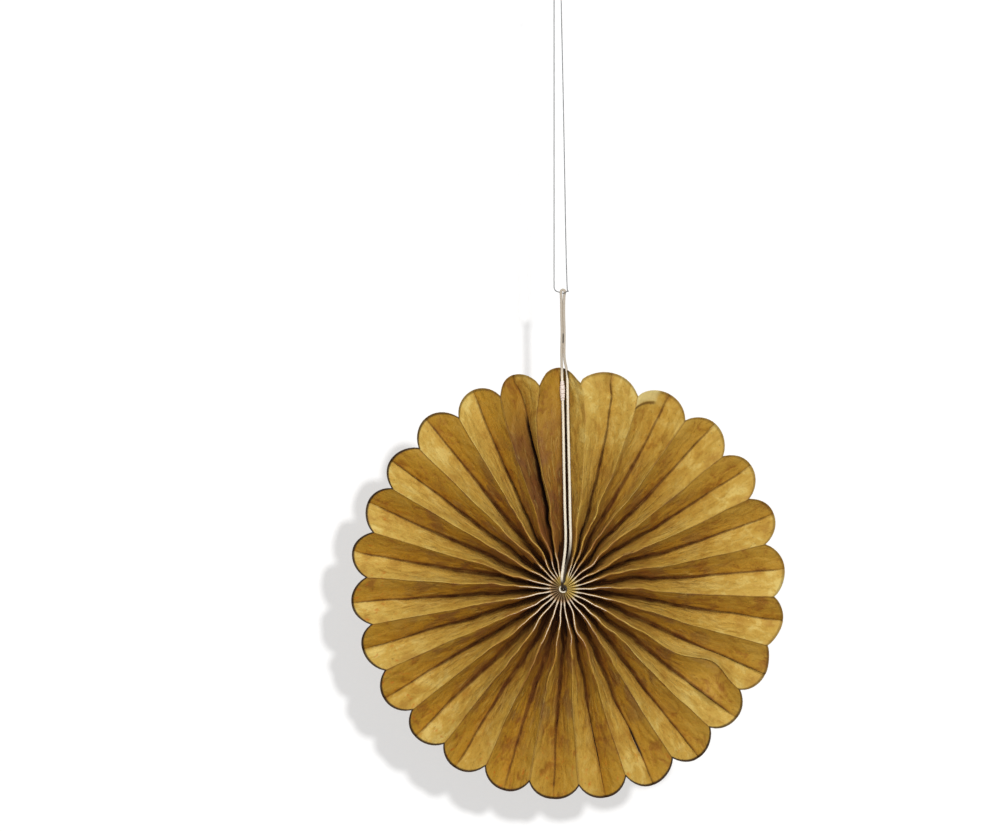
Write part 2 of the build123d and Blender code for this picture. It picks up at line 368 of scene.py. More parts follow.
class Shader:
    """The node tree of a material or the world, with short calls for the nodes used here."""

    def __init__(self, owner):
        self.owner = owner
        owner.use_nodes = True
        self.tree = owner.node_tree
        self.tree.nodes.clear()
        self.column = 0

    def node(self, kind, **settings):
        made = self.tree.nodes.new("ShaderNode" + kind)
        made.location = (self.column * 40, -(self.column % 6) * 160)
        self.column += 1
        for key, value in settings.items():
            setattr(made, key, value)
        return made

    def put(self, socket, value):
        """Joins a socket to another, or writes a plain value into it."""
        if isinstance(value, bpy.types.NodeSocket):
            self.tree.links.new(value, socket)
        elif hasattr(value, "__len__") and len(value) == 3 and socket.type == "RGBA":
            socket.default_value = (*value, 1.0)
        else:
            socket.default_value = value

    def math(self, operation, a, b=0.0):
        made = self.node("Math", operation=operation)
        self.put(made.inputs[0], a)
        self.put(made.inputs[1], b)
        return made.outputs[0]

    def chain(self, operation, values):
        result = values[0]
        for value in values[1:]:
            result = self.math(operation, result, value)
        return result

    def plus(self, *values):
        return self.chain("ADD", values)

    def times(self, *values):
        return self.chain("MULTIPLY", values)

    def most(self, *values):
        return self.chain("MAXIMUM", values)

    def minus(self, a, b):
        return self.math("SUBTRACT", a, b)

    def apart(self, a, b):
        """Distance between two values."""
        return self.math("ABSOLUTE", self.minus(a, b))

    def band(self, value, low, high, at_low=0.0, at_high=1.0):
        """Goes smoothly from at_low to at_high while the value goes from low to high."""
        made = self.node("MapRange", interpolation_type="SMOOTHSTEP")
        names = ("Value", "From Min", "From Max", "To Min", "To Max")
        for name, number in zip(names, (value, low, high, at_low, at_high)):
            self.put(made.inputs[name], number)
        return made.outputs["Result"]

    def split(self, vector):
        made = self.node("SeparateXYZ")
        self.put(made.inputs[0], vector)
        return made.outputs["X"], made.outputs["Y"], made.outputs["Z"]

    def mapped(self, vector, scale, location=(0.0, 0.0, 0.0)):
        made = self.node("Mapping")
        self.put(made.inputs["Vector"], vector)
        made.inputs["Scale"].default_value = scale
        made.inputs["Location"].default_value = location
        return made.outputs["Vector"]

    def noise(self, vector, scale, detail=3.0, roughness=0.55, distortion=0.0):
        made = self.node("TexNoise")
        self.put(made.inputs["Vector"], vector)
        names = ("Scale", "Detail", "Roughness", "Distortion")
        for name, number in zip(names, (scale, detail, roughness, distortion)):
            made.inputs[name].default_value = number
        return made.outputs["Fac"]

    def blend(self, factor, a, b):
        made = self.node("Mix", data_type="RGBA")
        self.put(made.inputs[0], factor)
        self.put(made.inputs[6], a)
        self.put(made.inputs[7], b)
        return made.outputs[2]

    def bump(self, height, strength, distance, normal=None):
        made = self.node("Bump")
        made.inputs["Strength"].default_value = strength
        made.inputs["Distance"].default_value = distance
        self.put(made.inputs["Height"], height)
        if normal is not None:
            self.put(made.inputs["Normal"], normal)
        return made.outputs["Normal"]

    def gate(self, factor, a, b):
        """One shader where the factor is 0 and another where it is 1."""
        made = self.node("MixShader")
        for socket, value in zip(made.inputs, (factor, a, b)):
            self.put(socket, value)
        return made.outputs[0]

    def shown(self, shader, output="OutputMaterial"):
        """Ends the tree and gives back the material or world."""
        self.put(self.node(output).inputs["Surface"], shader)
        return self.owner

    def finish(self, colour, normal, **sockets):
        shader = self.node("BsdfPrincipled")
        self.put(shader.inputs["Base Color"], colour)
        self.put(shader.inputs["Normal"], normal)
        for key, value in sockets.items():
            self.put(shader.inputs[key.replace("_", " ").title().replace("Ior", "IOR")], value)
        return self.shown(shader.outputs[0])


# Pleated paper: shape

class Pleats:
    """Works out where each point of the folded strip lies, in millimetres. Fold line 0 is the
    inner fold under the top scallop, even lines are inner folds at the back and odd lines are
    ridges in front. Panel n lies between the fold lines n and n + 1, clockwise."""

    def __init__(self, settings):
        self.count = 2 * settings.scallops
        self.half = math.pi / settings.scallops
        self.rim = RIM_RADIUS / MM
        self.notch = self.rim - settings.scallop_depth / MM
        self.hub = settings.hub_radius / MM
        self.width = (FOLD_DEPTH - settings.thickness) / MM
        self.wave = settings.waves / MM
        self.bow = settings.bow / MM
        rise = self.rim - self.notch * math.cos(self.half)
        reach = self.notch * math.sin(self.half)
        self.arc = (reach ** 2 + rise ** 2) / (2 * rise)
        chance = random.Random(settings.seed)
        self.nudge = [math.radians(chance.uniform(-0.5, 0.5)) for _ in range(self.count)]
        self.tips = [chance.uniform(-0.8, 0.8) for _ in range(self.count)]
        self.phase = [chance.uniform(0, 100) for _ in range(self.count)]
        self.bulge = [chance.uniform(-0.6, 1.0) for _ in range(self.count)]
        self.curl = [chance.uniform(-1.0, 1.0) for _ in range(self.count)]
        self.lean = [chance.uniform(-1.0, 1.0) for _ in range(self.count)]
        self.shade = [chance.uniform(-0.16, 0.16) for _ in range(self.count)]

    def folds(self, panel):
        """The inner fold and the ridge of a panel."""
        return (panel, panel + 1) if panel % 2 == 0 else (panel + 1, panel)

    def angle(self, line):
        """Way of a fold line at the rim, clockwise from the top."""
        even = math.degrees(line * self.half)
        uneven = follow(SPACING, even - 360 if even > SPACING[-1][0] else even)
        return math.radians(even + uneven) + self.nudge[line % self.count]

    def even_x(self, line, r):
        """Sideways place that a straight fold line has at a distance from the hub."""
        t = min(1.0, max(0.0, (r - self.hub) / (self.notch - self.hub)))
        rim = RIM_OFFSET[0] + self.notch * math.sin(self.angle(line))
        return mix(self.hub * math.sin(line * self.half), rim, t)

    def shift(self, line, r):
        """Angle that the opened top pleat pushes a fold line aside, at a distance from the hub."""
        j = (line + self.count // 2) % self.count - self.count // 2
        lead = j if j in SEAMS else (1 if j > 0 else -1)
        pushed = (follow(SEAMS[lead], r) - self.even_x(lead, r)) / max(r, 1.0)
        if lead == j:
            return pushed
        return pushed * max(0.0, 1 - (abs(j) - 1) / SEAM_REACH) ** 1.6

    def wander(self, line, r):
        """Sideways waviness of a fold line as an angle. Neighbours wander partly together."""
        n = line % self.count
        if n == 0:
            return 0.0
        phase, way = self.phase[n], n * self.half
        amount = self.wave * smooth(4, 15, r) * (1 - 0.78 * smooth(22, 62, r))
        together = noise.noise(Vector((2.1 * math.cos(way), 2.1 * math.sin(way), r / 15.0)))
        alone = noise.noise(Vector((phase, r / 13.0, 0.0))) + 0.4 * noise.noise(Vector((phase, r / 5.0, 3.0)))
        aside = amount * (0.8 * together + 1.6 * alone)
        if n in SWAYS:
            most, middle, length = SWAYS[n]
            aside += most * math.exp(-((r - middle) / length) ** 2)
        return aside / max(r, 1.0) - self.twist(way, r)

    def twist(self, way, r):
        """Angle that the gathering turns a fold line near the hub."""
        apart = abs((math.degrees(way) - STRAIGHT_WAY + 180.0) % 360.0 - 180.0)
        return TWIST * smooth(3, 12, r) * (1 - smooth(20, 60, r)) * smooth(20, 60, apart)

    def edge(self, g):
        """Distance from the rim's centre to the cut edge; g is 0 at the tip and 1 at the notch."""
        angle = g * self.half
        inner = self.rim - self.arc
        return inner * math.cos(angle) + math.sqrt(max(0.0, self.arc ** 2 - (inner * math.sin(angle)) ** 2))

    def plan(self, valley, ridge, g, t):
        """Place seen from the front and its distance from the hub: g goes from the inner fold
        to the ridge, t from the hub to the rim."""
        hub_angle = mix(valley, ridge, g) * self.half
        rim_angle = mix(self.angle(valley), self.angle(ridge), g)
        reach = self.edge(g) + POINTED_RIDGES.get(ridge % self.count, 0.0) * g ** 3
        reach += (0.9 + self.tips[valley % self.count]) * (1 - g * g) + self.tips[ridge % self.count] * g ** 4
        inner = mix(0.5, self.hub, g)
        x = mix(inner * math.sin(hub_angle), RIM_OFFSET[0] + reach * math.sin(rim_angle), t)
        z = mix(inner * math.cos(hub_angle), RIM_OFFSET[1] + reach * math.cos(rim_angle), t)
        r = math.hypot(x, z)
        turns = [self.shift(line, r) + self.wander(line, r) for line in (valley, ridge)]
        turn = mix(*turns, g) * smooth(0.0, 0.02, t)
        return x * math.cos(turn) + z * math.sin(turn), z * math.cos(turn) - x * math.sin(turn), r

    def crest(self, r, gap):
        """Radius of a ridge: the gathered ends nearly touch beside the hub."""
        gathered = mix(0.9, 0.28, smooth(5.5, 9.5, r))
        return min(mix(gathered, 0.13, smooth(12, 45, r)), 0.92 * gap)

    def swell(self, panel, s, r):
        """How far a panel bulges to the back at the share s of its width. One that hangs over
        its inner fold bulges to the front."""
        n = panel % self.count
        swell = self.bow * self.bulge[n] * math.sin(math.pi * s) * smooth(8, 40, r)
        if n in OVERHANGS:
            most, start, end = OVERHANGS[n]
            reach = smooth(start, start + 12, r) * (1 - smooth(end - 8, end + 4, r))
            swell -= most * reach * math.sin(math.pi * s ** 0.45)
        paper = Vector((panel * 9.7 + s * 1.25, r / 11.0, 0.0))
        return swell + 0.42 * noise.noise(paper) * smooth(14, 45, r) * min(1.0, 5 * s * (1 - s))

    def section(self, panel, step, r, gap, depth):
        """Way across and to the front from the inner fold, at a step across a panel."""
        crest, pinch = self.crest(r, gap), min(0.11, 0.1 * gap)
        steep = math.atan2(depth, gap)
        if step <= FOLD_STEPS:
            turn = steep * step / FOLD_STEPS
            return pinch * math.sin(turn), pinch * (1 - math.cos(turn))
        if step >= FOLD_STEPS + FLAT_STEPS:
            turn = steep * (PANEL_STEPS - step) / RIDGE_STEPS
            return gap - crest * math.sin(turn), depth - crest * (1 - math.cos(turn))
        s = (step - FOLD_STEPS) / FLAT_STEPS
        near = (pinch * math.sin(steep), pinch * (1 - math.cos(steep)))
        far = (gap - crest * math.sin(steep), depth - crest * (1 - math.cos(steep)))
        across, forward = mix(near[0], far[0], s), mix(near[1], far[1], s)
        swell = self.swell(panel, s, r)
        return across + swell * math.sin(steep), forward - swell * math.cos(steep)

    def tip(self, panel, g, t):
        """How the outer ends curl out of their plane, forwards below zero."""
        valley, ridge = self.folds(panel)
        late = smooth(0.72, 1.0, t)
        sway = 0.9 * self.curl[valley % self.count] * late * (1 - g)
        side = 0.7 * self.lean[ridge % self.count] * late * g
        folded = CURLED_TIPS.get(panel % self.count, 0.0) * smooth(0.9, 1.0, t) * (1 - 0.5 * g)
        return sway + side - folded

    def point(self, panel, step, t):
        """Place of a step across a panel, counted from its inner fold to its ridge."""
        valley, ridge = self.folds(panel)
        vx, vz, valley_r = self.plan(valley, ridge, 0.0, t)
        rx, rz, ridge_r = self.plan(valley, ridge, 1.0, t)
        if valley_r < CROWDED_RADIUS:
            gap = max(0.05, math.hypot(vx - rx, vz - rz))
        else:
            gap = max(0.05, abs(vx * rz - vz * rx) / math.hypot(vx, vz))
        depth = math.sqrt(max(4.0, self.width ** 2 - min(gap, self.width) ** 2))
        across, forward = self.section(panel, step, ridge_r, gap, depth)
        g = min(1.0, max(0.0, across / gap))
        x, z, r = self.plan(valley, ridge, g, t)
        y = depth / 2 - forward
        if r < GATHERED_RADIUS:
            y -= ((GATHERED_RADIUS - r) / 5.0) ** 2 * (1 - 2 * forward / depth)
        return x, y + self.tip(panel, g, t), z

    def tone(self, panel):
        """How much a panel's front faces up: 0 down, 1 up, with a little chance. The paper's colour
        paints light on the panels that face up and shade on those that face down. The panels at
        the upper right are more alike."""
        n = panel % self.count
        if n in TONES:
            return TONES[n]
        valley, ridge = self.folds(panel)
        out = mix(self.angle(valley), self.angle(ridge), 0.5)
        side = 1.0 if ridge > valley else -1.0
        up = (math.sin(out) * UPWARD[1] - math.cos(out) * UPWARD[0]) * side
        plain = smooth(-0.25, 0.9, up) + self.shade[n]
        alike = 0.55 * max(0.0, math.cos(out - 0.75)) ** 2
        return min(1.0, max(0.0, mix(plain, 0.58, alike)))


class MEDALLION_OT_paper(bpy.types.Operator):
    """Add the pleated paper: one strip in folds, gathered at the hub and glued on one panel"""
    bl_idname = "medallion.add_paper"
    bl_label = "Pleated paper"
    bl_options = {"REGISTER", "UNDO"}

    rows: count_property("Rows", "Rows of faces from hub to rim", 60, 12, 90)

    def execute(self, context):
        settings = context.scene.medallion_paper
        pleats = Pleats(settings)
        steps = LAP_STEPS + pleats.count * PANEL_STEPS
        bpy.ops.mesh.primitive_grid_add(
            x_subdivisions=steps, y_subdivisions=self.rows, size=1.0, calc_uvs=True,
        )
        sheet = context.object
        sheet.name = "paper_fan"
        if len(sheet.data.vertices) != (steps + 1) * (self.rows + 1):
            raise RuntimeError("the grid has another number of points than the strip needs")
        strip, places = [], []
        for row in range(self.rows + 1):
            t = (row / self.rows) ** ROW_POWER
            for column in range(steps + 1):
                u, place = self.strip_point(pleats, column - LAP_STEPS, t)
                strip.append((u, t))
                places.append(place)
        sheet.data.vertices.foreach_set("co", [c * MM for place in places for c in place])
        self.write_maps(sheet.data, pleats, steps, strip, places)
        sheet.data.update()
        self.thicken(sheet, settings.thickness)
        sheet.data.materials.append(paper_material(settings))
        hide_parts("pleated_paper")
        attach(sheet, "root")
        return {"FINISHED"}

    def strip_point(self, pleats, column, t):
        """Paper place in panels, and the place in space, of a column of the strip. Columns below
        zero are the glued overlap, which lies behind the last panel and starts at fold line 0."""
        if column < 0:
            return self.lap_point(pleats, -column / LAP_STEPS * LAP_SHARE, t)
        panel, step = divmod(column, PANEL_STEPS)
        if panel == pleats.count:
            panel, step = panel - 1, PANEL_STEPS
        if panel % 2 == 0:
            return panel + PAPER_FRACTIONS[step], pleats.point(panel, step, t)
        back = PANEL_STEPS - step
        return panel + 1 - PAPER_FRACTIONS[back], pleats.point(panel, back, t)

    def lap_point(self, pleats, share, t):
        """The same for the glued overlap, at a share of the last panel's width."""
        step = share * (FOLD_STEPS + FLAT_STEPS)
        low = int(step)
        a, b = pleats.point(pleats.count - 1, low, t), pleats.point(pleats.count - 1, low + 1, t)
        x, y, z = (mix(p, q, step - low) for p, q in zip(a, b))
        behind = LAP_BEHIND * min(1.0, 4.0 * share)
        return -share, (x - behind, y + behind, z)

    def write_maps(self, mesh, pleats, steps, strip, places):
        """Two maps: the paper's own place in panels and hub distance, and the way out to the
        rim with how much the panel faces up."""
        flat = mesh.uv_layers.active or mesh.uv_layers.new(name="UVMap")
        flat.name = "paper"
        mesh.uv_layers.new(name="rim")
        paper_uv, rim_uv = [], []
        tones = [pleats.tone(panel) for panel in range(pleats.count)]
        for face in mesh.polygons:
            column = face.index % steps - LAP_STEPS
            tone = tones[column // PANEL_STEPS if column >= 0 else -1]
            for n in face.vertices:
                u, t = strip[n]
                x, y, z = places[n]
                paper_uv += [u, math.hypot(x, z) / OUTWARD_MM]
                rim_uv += [t, tone]
        mesh.uv_layers["paper"].data.foreach_set("uv", paper_uv)
        mesh.uv_layers["rim"].data.foreach_set("uv", rim_uv)

    def thicken(self, sheet, thickness):
        """Gives the sheet its thickness, half to each side."""
        wall = only(sheet).modifiers.new("wall", "SOLIDIFY")
        wall.thickness = thickness
        wall.offset = 0.0
        wall.use_even_offset = False
        apply_modifiers(sheet)
        bpy.ops.object.shade_smooth_by_angle(angle=math.radians(60))


# Pleated paper: colours

class PaperPlace:
    """Where a point lies on the folded paper, and the clouds that several finishes share."""

    def __init__(self, s):
        self.shader = s
        self.map = s.node("UVMap", uv_map="paper").outputs["UV"]
        self.panels, self.away, _ = s.split(self.map)
        self.out, self.faces_up, _ = s.split(s.node("UVMap", uv_map="rim").outputs["UV"])
        self.x, _, self.z = s.split(s.node("TexCoord").outputs["Object"])
        self.corner = s.plus(self.x, self.z)
        _, backward, _ = s.split(s.node("TexCoord").outputs["Normal"])
        self.in_front = s.band(backward, -0.03, 0.01, 1.0, 0.0)
        # Distances in panels to the nearest inner fold, an even fold line, and to the nearest ridge
        self.from_fold = s.math("PINGPONG", self.panels, 1.0)
        self.from_ridge = s.minus(1.0, self.from_fold)
        self.clouds = s.noise(self.stretched(), 0.062, 3.0, 0.55, 0.4)
        self.blotches = s.noise(self.stretched(0.78, (3.0, 7.0)), 0.20, 4.0, 0.58, 0.5)
        self.grain = s.noise(self.stretched(), 0.7, 4.0, 0.6)
        self.uneven = s.minus(self.blotches, 0.5)

    def stretched(self, outward=1.0, offset=(0.0, 0.0), across=1.0):
        """Place on the flat paper in millimetres, for a pattern that may be drawn out."""
        return self.shader.mapped(self.map, (PANEL_MM * across, OUTWARD_MM * outward, 1.0), (*offset, 0.0))


def painted_light_gold(s, at, settings):
    """Gold paper with painted light and shade: panels that face up are paler, most in cloudy patches near the
    rim, and panels that face down are browner.
    """
    tone = s.plus(s.times(at.clouds, 0.46), s.times(at.blotches, 0.40), s.times(at.grain, 0.14))
    painted_light = s.times(at.faces_up, s.band(tone, 0.36, 0.56, 0.72, 1.0), s.band(at.out, 0.45, 0.88, 0.62, 1.0))
    colour = s.blend(painted_light, settings.gold, settings.painted_light_gold)
    # Painted shade: brown-gold clouds, stronger on the panels that face down
    darker = s.times(s.band(tone, 0.38, 0.50, 0.85, 0.0), s.band(at.faces_up, 0.1, 0.9, 1.0, 0.42))
    colour = s.blend(darker, colour, settings.brown_gold)
    # Painted light: light-gold clouds, stronger on the panels that face up and near the rim
    paler = s.times(
        s.band(tone, 0.50, 0.60, 0.0, 0.8),
        s.band(at.faces_up, 0.25, 0.9, 0.12, 1.0),
        s.band(at.out, 0.45, 0.90, 0.15, 1.0),
    )
    return s.blend(paler, colour, settings.light_gold)


def shaded_brown_panels(s, at, colour):
    """Painted shade in brown on the panels whose tone is below 0, and purplish patches in the inner half:
    random patches, made stronger on panels that face down as painted shade.
    """
    # Painted shade: brown on the panels given a tone below 0
    brown = s.times(
        s.band(at.faces_up, -0.35, -0.02, 0.95, 0.0),
        s.band(at.out, 0.62, 0.97, 1.0, 0.25),
        s.band(at.clouds, 0.30, 0.60, 1.0, 0.8),
    )
    colour = s.blend(brown, colour, PANEL_SHADE_BROWN)
    patches = s.noise(at.stretched(0.78, (3.0, 7.0)), 0.11, 2.0, 0.5, 0.3)
    purple_shade = s.times(
        s.band(patches, 0.47, 0.62, 0.0, 0.56),
        s.band(at.faces_up, 0.1, 0.8, 1.0, 0.25),
        s.band(at.away, 0.55, 0.90, 1.0, 0.0),
    )
    return s.blend(purple_shade, colour, PURPLE_SHADE_BROWN)


def fibres(s, at, colour, settings):
    """Orange fibres near the rim, most at the lower left, and darker specks."""
    speck = s.noise(at.stretched(0.72, (4.0, 9.0)), 0.34, 3.0, 0.6, 0.3)
    orange = s.times(
        s.band(speck, 0.58, 0.70, 0.0, 0.7),
        s.band(at.out, 0.70, 0.98, 0.1, 1.0),
        s.band(at.corner, -0.08, 0.03, 1.0, 0.12),
    )
    colour = s.blend(orange, colour, settings.fleck)
    dark = s.noise(at.stretched(0.80, (31.0, 2.0)), 0.7, 2.0, 0.5)
    return s.blend(s.times(s.band(dark, 0.62, 0.76), 0.35), colour, settings.speck_and_crease_shade)


def fine_creases(s, at, colour, settings):
    """Fine creases that run outwards, with a painted highlight on one side and painted shade in the crease,
    most near the hub.
    """
    streak = s.noise(at.stretched(0.030, (5.0, 3.0), 0.33), 1.0, 2.0, 0.5, 0.35)
    near = s.times(s.band(at.away, 0.42, 0.85, 1.0, 0.12), s.band(at.clouds, 0.40, 0.55, 0.4, 1.0))
    # Painted highlight on one side of each fine crease
    dent_highlight = s.band(s.apart(streak, 0.528), 0.0, 0.020, 0.5, 0.0)
    colour = s.blend(s.times(dent_highlight, near), colour, settings.light_gold)
    # Painted shade in the fine crease
    dent_shade = s.band(s.apart(streak, 0.5), 0.0, 0.022, 0.62, 0.0)
    return s.blend(s.times(dent_shade, near), colour, settings.speck_and_crease_shade)


def shade_towards_hub(s, at, colour, settings):
    """Painted shade: browner towards the hub, with soft uneven edges, less on the panels that face up."""
    reach = s.plus(at.away, s.times(at.uneven, 0.55), s.times(at.faces_up, 0.12))
    return s.blend(s.band(reach, 0.12, 0.58, 0.62, 0.0), colour, settings.hub_shade_brown)


def wedge_shade(s, at, colour, settings):
    """Painted shade: dark wedges along the inner folds near the hub, weaker on the panels that face up."""
    reach = s.plus(at.away, s.times(at.uneven, 0.30), s.band(at.corner, 0.015, 0.045, 0.0, 0.05))
    wedge = s.band(reach, 0.12, 0.33, 0.96, -0.05)
    inside = s.band(s.minus(at.from_fold, wedge), -0.06, 0.01, 1.0, 0.0)
    return s.blend(s.times(inside, s.band(at.faces_up, 0.3, 0.95, 1.0, 0.45)), colour, settings.hub_shade)


def lit_and_shaded_ends(s, at, colour):
    """Gathered inner ends: painted light in yellow above on the right, painted shade in grey brown on the
    left.
    """
    aside = s.plus(at.x, s.times(at.z, 0.7))
    # Painted light and shade on the gathered ends, by their side towards the light
    tone = s.blend(s.band(aside, -0.003, 0.002), HUB_SHADED_GREY_BROWN, HUB_LIT_YELLOW)
    reach = s.band(aside, 0.0, 0.004, 0.0, 0.022)
    return s.blend(s.band(s.minus(at.away, reach), 0.044, 0.066, 0.92, 0.0), colour, tone)


def worn_and_lit_ridges(s, at, colour, settings):
    """Rubbed ridges near the hub, worn and with a painted highlight on the fold edges: pale below, yellower
    and thinner above.
    """
    height = s.math("DIVIDE", at.z, s.times(s.most(at.away, 0.01), 0.1))
    below = s.band(height, -0.35, 0.55, 1.0, 0.0)
    rubbed_and_lit = s.blend(below, YELLOW_RIDGE_HIGHLIGHT, settings.worn_ridge_highlight)
    outward = s.most(s.math("MINIMUM", at.away, 0.4), 0.09)
    width = s.times(s.math("DIVIDE", 0.0055, outward), s.band(below, 0.0, 1.0, 0.24, 0.35))
    end = s.plus(s.minus(at.away, s.times(below, 0.085)), s.times(at.uneven, 0.38))
    # Worn ridge with a painted highlight, thin and fading outwards
    worn = s.times(
        s.band(s.math("DIVIDE", at.from_ridge, width), 0.45, 1.0, 1.0, 0.0),
        s.band(end, 0.11, 0.21, 1.0, 0.0),
        s.band(below, 0.0, 1.0, 0.92, 0.97),
        s.band(at.away, 0.050, 0.076, 0.05, 1.0),
    )
    return s.blend(worn, colour, rubbed_and_lit)


def fold_crease_shade(s, at, colour, settings):
    """Painted shade: dark lines in the inner folds, as wide as seen from the front at every distance,
    with a soft brown painted shade on both sides."""
    seen_apart = s.times(at.from_fold, at.away)
    beyond_hub = s.band(at.away, 0.055, 0.10)
    crease = s.times(
        s.band(s.times(seen_apart, s.band(at.away, 0.45, 0.85, 0.6, 1.0)), 0.024, 0.066, 1.0, 0.0),
        s.band(at.away, 0.5, 0.9, 1.0, 0.74),
        s.band(at.blotches, 0.35, 0.62, 1.0, 0.72),
        beyond_hub,
        s.band(at.out, 0.92, 0.99, 1.0, 0.3),
    )
    colour = s.blend(crease, colour, settings.speck_and_crease_shade)
    soft = s.times(
        s.band(seen_apart, 0.03, 0.14, 0.4, 0.0),
        s.band(at.faces_up, 0.2, 0.9, 1.0, 0.4),
        beyond_hub,
        s.band(at.away, 0.5, 0.95, 1.0, 0.3),
    )
    return s.blend(soft, colour, settings.hub_shade_brown)


def ridge_shade_lines(s, at, colour, settings):
    """Painted shade: thin brown lines beside the ridges in the outer half, most on the darker panels."""
    seam = s.times(
        s.band(s.times(s.minus(at.from_ridge, 0.034), at.away), 0.008, 0.045, 0.38, 0.0),
        s.band(at.away, 0.35, 0.55),
        s.band(at.faces_up, 0.25, 0.8, 1.0, 0.15),
    )
    return s.blend(seam, colour, settings.speck_and_crease_shade)


def slit_shade(s, at, colour, settings):
    """Painted shade in deep slits on the front, each with a painted highlight on its right edge."""
    for line, start, end, left, right in SHADED_SLITS:
        apart = s.times(s.minus(at.panels, line), at.away)
        slit = s.times(
            s.band(at.away, start - 0.06, start),
            s.band(at.away, end - 0.08, end, 1.0, 0.0),
            at.in_front,
        )
        beyond = s.band(apart, right + 0.05, right + 0.10, 0.9, 0.0)
        # Painted highlight on the slit's right edge
        pale = s.times(s.band(apart, right, right + 0.01), beyond)
        colour = s.blend(s.times(slit, pale), colour, SLIT_HIGHLIGHT)
        # Painted shade inside the slit
        dark = s.times(s.band(apart, -left, -0.5 * left), s.band(apart, 0.8 * right, right, 1.0, 0.0))
        colour = s.blend(s.times(slit, dark), colour, settings.hub_shade)
    return colour


def string_shade(s, at, colour, settings):
    """Shade behind the two strands of the string, which lean a little to the left."""
    middle = s.minus(s.plus(at.x, s.times(at.z, 0.016)), 0.0026)
    shade = s.times(
        s.band(s.math("ABSOLUTE", middle), 0.0012, 0.0026, 0.85, 0.0),
        s.band(at.z, 0.010, 0.016),
        at.in_front,
    )
    return s.blend(shade, colour, settings.hub_shade)


def cut_edge_shade(s, at, colour, settings):
    """Dark line along the cut edge of the paper, painted shade that is strongest at the lower left."""
    edge = s.times(s.band(at.out, 0.984, 0.993), s.band(at.corner, -0.02, 0.09, 0.95, 0.40))
    return s.blend(edge, colour, settings.hub_shade)


def curled_flap(s, at, colour, settings):
    """The most curled tip: a dark line of painted shade where it bends, and a paler band of painted highlight
    beyond it.
    """
    flap = s.times(s.band(at.panels, 2.96, 3.02), s.band(at.panels, 3.62, 3.78, 1.0, 0.0), at.in_front)
    line = s.times(s.band(at.out, 0.928, 0.938), s.band(at.out, 0.943, 0.951, 0.7, 0.0))
    colour = s.blend(s.times(flap, line), colour, settings.speck_and_crease_shade)
    # Painted highlight on the curled tip
    return s.blend(s.times(flap, s.band(at.out, 0.943, 0.955, 0.0, 0.7)), colour, FLAP_HIGHLIGHT)


def paper_relief(s, at):
    """Crumpled surface with a fine grain."""
    wrinkle = s.node("TexVoronoi", feature="DISTANCE_TO_EDGE")
    s.put(wrinkle.inputs["Vector"], at.stretched(0.52, (1.0, 3.0)))
    wrinkle.inputs["Scale"].default_value = 0.15
    crumple = s.band(wrinkle.outputs["Distance"], 0.0, 0.25)
    height = s.plus(s.times(crumple, 0.4), s.times(at.blotches, 1.3), s.times(at.grain, 0.4))
    fine = s.noise(at.stretched(), 3.2, 2.0, 0.6)
    return s.bump(fine, 0.3, 0.00018, s.bump(height, 0.5, 0.0013))


def paper_material(settings):
    s = Shader(bpy.data.materials.new("gold_kraft_paper"))
    at = PaperPlace(s)
    colour = painted_light_gold(s, at, settings)
    colour = shaded_brown_panels(s, at, colour)
    colour = fibres(s, at, colour, settings)
    colour = fine_creases(s, at, colour, settings)
    colour = shade_towards_hub(s, at, colour, settings)
    colour = wedge_shade(s, at, colour, settings)
    colour = lit_and_shaded_ends(s, at, colour)
    colour = worn_and_lit_ridges(s, at, colour, settings)
    colour = fold_crease_shade(s, at, colour, settings)
    colour = ridge_shade_lines(s, at, colour, settings)
    colour = slit_shade(s, at, colour, settings)
    colour = string_shade(s, at, colour, settings)
    colour = cut_edge_shade(s, at, colour, settings)
    colour = curled_flap(s, at, colour, settings)
    return s.finish(colour, paper_relief(s, at), roughness=0.58, specular_ior_level=0.28)


# Cords and knots

def cord_curve(name, points, diameter, material):
    """A cord on one smooth spline through a list of points in metres."""
    data = bpy.data.curves.new(name, "CURVE")
    data.dimensions = "3D"
    data.bevel_depth = diameter / 2
    data.bevel_resolution = 5
    data.resolution_u = 10
    data.render_resolution_u = 10
    data.use_fill_caps = True
    spline = data.splines.new("NURBS")
    spline.points.add(len(points) - 1)
    for target, place in zip(spline.points, points):
        target.co = (*place, 1.0)
    spline.order_u = 3
    spline.use_endpoint_u = True
    data.materials.append(material)
    obj = bpy.data.objects.new(name, data)
    bpy.context.scene.collection.objects.link(obj)
    return obj


def to_metres(points):
    return [tuple(c * MM for c in p) for p in points]


def string_painted_shade(s, place, x, z):
    """Painted shade: dark where the string lies inside the hub, where its rear strand rises out of
    it, and between the two strands where they meet above the rim."""
    inside = s.node("VectorMath", operation="LENGTH")
    s.put(inside.inputs[0], s.mapped(place, (1.0, 0.0, 1.0)))
    hub = s.band(inside.outputs["Value"], 0.0026, 0.0056, 1.0, 0.0)
    beside = s.minus(x, s.times(z, 0.16))
    rising = s.times(s.band(beside, -0.0011, -0.0006), s.band(z, 0.013, 0.025, 0.96, 0.0))
    between = s.times(
        s.band(z, 0.1135, 0.1145),
        s.band(z, 0.1178, 0.1188, 0.85, 0.0),
        s.band(s.apart(x, 0.00010), 0.00020, 0.00045, 1.0, 0.0),
    )
    return s.most(hub, rising, between)


def ring_painted_shade(s, place, x, z):
    """Painted shade on the upper right of the ring of thread."""
    return s.band(s.plus(x, z), -0.0010, 0.0008, 0.0, 0.96)


